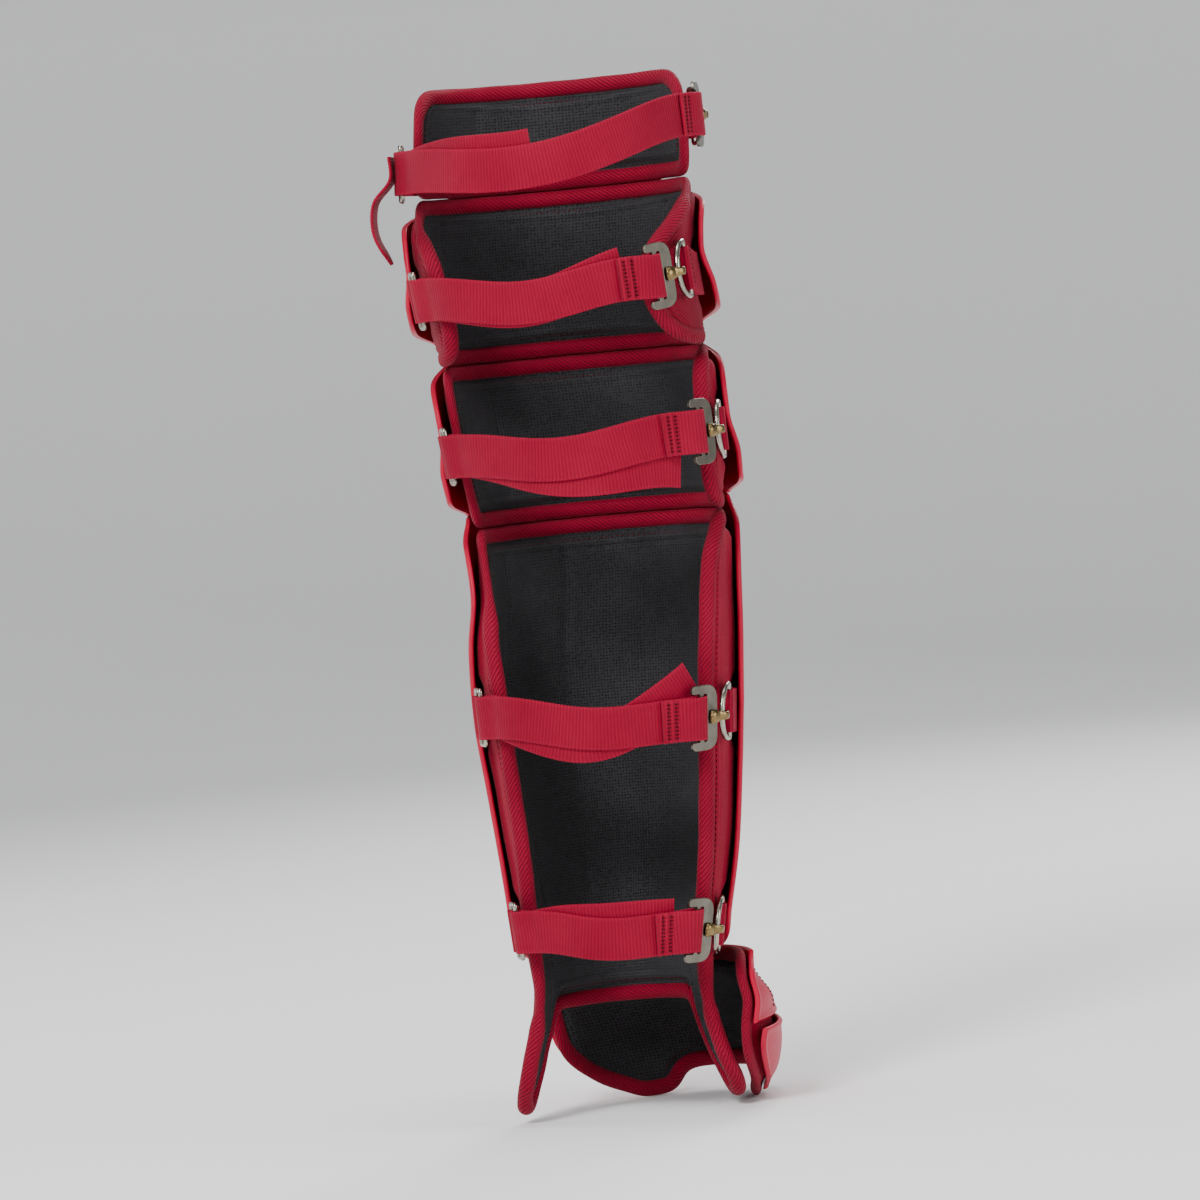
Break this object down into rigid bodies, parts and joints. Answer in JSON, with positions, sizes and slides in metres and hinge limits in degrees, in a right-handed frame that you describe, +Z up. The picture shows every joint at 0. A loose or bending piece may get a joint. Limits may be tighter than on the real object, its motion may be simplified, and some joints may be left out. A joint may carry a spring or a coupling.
{
  "type": "catcher leg guard",
  "caption": "Wrap-round leg guard with moulded knee, shin and thigh plates on bound pads, hook-and-ring webbing straps behind and a turned-out toe guard.",
  "frame": {"origin": "the leg seat: where the shin rests against the inner front face of the shin pad, at mid shin", "axes": "+Z up the leg, -Y out of the front of the shin, +X to the inner (medial) side of the right leg, -X to the outer side with the hooks"},
  "size_m": [0.2022, 0.1968, 0.6089],
  "materials": {
    "plate_red": "satin moulded plastic",
    "padding_red": "knit cloth over foam, twill-bound edges",
    "webbing_red": "ribbed webbing",
    "nickel": "satin nickel plate",
    "brass": "polished antique brass plate"
  },
  "bodies": {
    "root": {"shin_pad": "padding_red", "lower_knee_pad": "padding_red", "knee_pad": "padding_red", "thigh_pad": "padding_red", "toe_pad": "padding_red", "shin_plate": "plate_red", "lower_knee_plate": "plate_red", "knee_plate": "plate_red", "thigh_plate": "plate_red", "toe_plate_upper": "plate_red", "toe_plate_lower": "plate_red", "thigh_hook_plate": "nickel", "thigh_claw": "brass", "thigh_ring": "nickel", "thigh_ring_tab": "webbing_red", "thigh_slider": "nickel", "thigh_slider_tab": "webbing_red", "thigh_strap": "webbing_red", "thigh_strap_tail": "webbing_red", "knee_hook_plate": "nickel", "knee_claw": "brass", "knee_ring": "nickel", "knee_ring_tab": "webbing_red", "knee_slider": "nickel", "knee_slider_tab": "webbing_red", "knee_strap": "webbing_red", "lower_knee_hook_plate": "nickel", "lower_knee_claw": "brass", "lower_knee_ring": "nickel", "lower_knee_ring_tab": "webbing_red", "lower_knee_slider": "nickel", "lower_knee_slider_tab": "webbing_red", "lower_knee_strap": "webbing_red", "shin_hook_plate": "nickel", "shin_claw": "brass", "shin_ring": "nickel", "shin_ring_tab": "webbing_red", "shin_slider": "nickel", "shin_slider_tab": "webbing_red", "shin_strap": "webbing_red", "ankle_hook_plate": "nickel", "ankle_claw": "brass", "ankle_ring": "nickel", "ankle_ring_tab": "webbing_red", "ankle_slider": "nickel", "ankle_slider_tab": "webbing_red", "ankle_strap": "webbing_red"}
  },
  "joints": []
}
